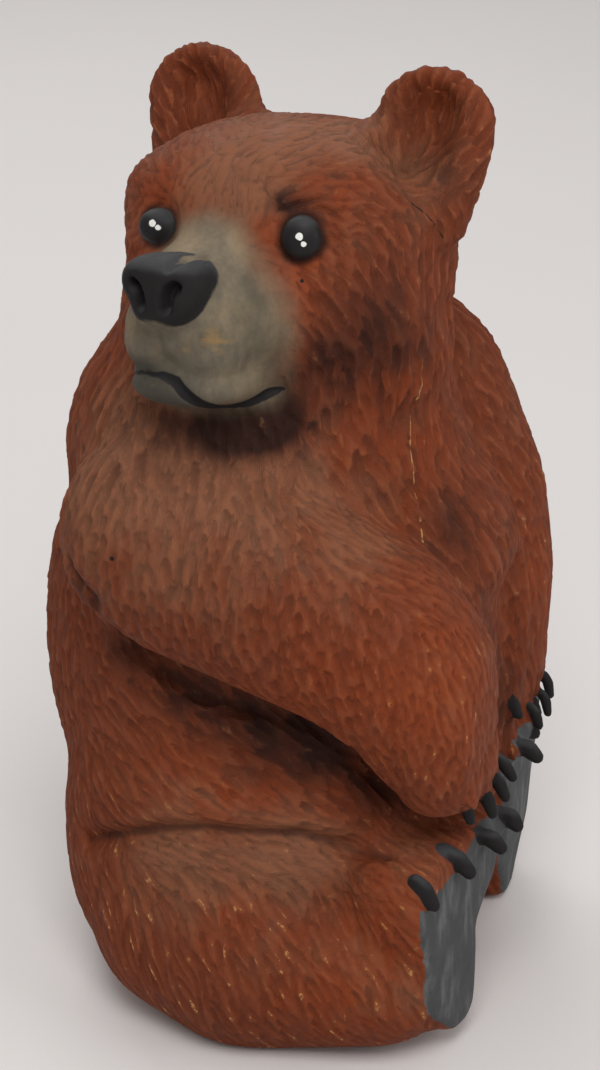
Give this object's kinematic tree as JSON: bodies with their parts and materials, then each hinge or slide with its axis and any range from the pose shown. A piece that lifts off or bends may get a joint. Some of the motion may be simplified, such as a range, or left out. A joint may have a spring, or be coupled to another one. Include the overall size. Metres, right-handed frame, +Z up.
{
  "type": "carved wooden bear",
  "caption": "Seated bear carved in the round from one block of wood, painted brown, head turned over its shoulder, arms laid on the feet",
  "frame": {"origin": "middle of the flat underside, on the ground", "axes": "+Z up; the body and the soles face -Y; the bear's own right side is -X and its head is turned that way"},
  "size_m": [0.2633, 0.2543, 0.4675],
  "materials": {
    "painted_wood": "dull brown paint brushed on tool-marked wood; muzzle and soles grey, nose, eyes and claws black"
  },
  "bodies": {
    "root": {"bear": "painted_wood"}
  },
  "joints": []
}
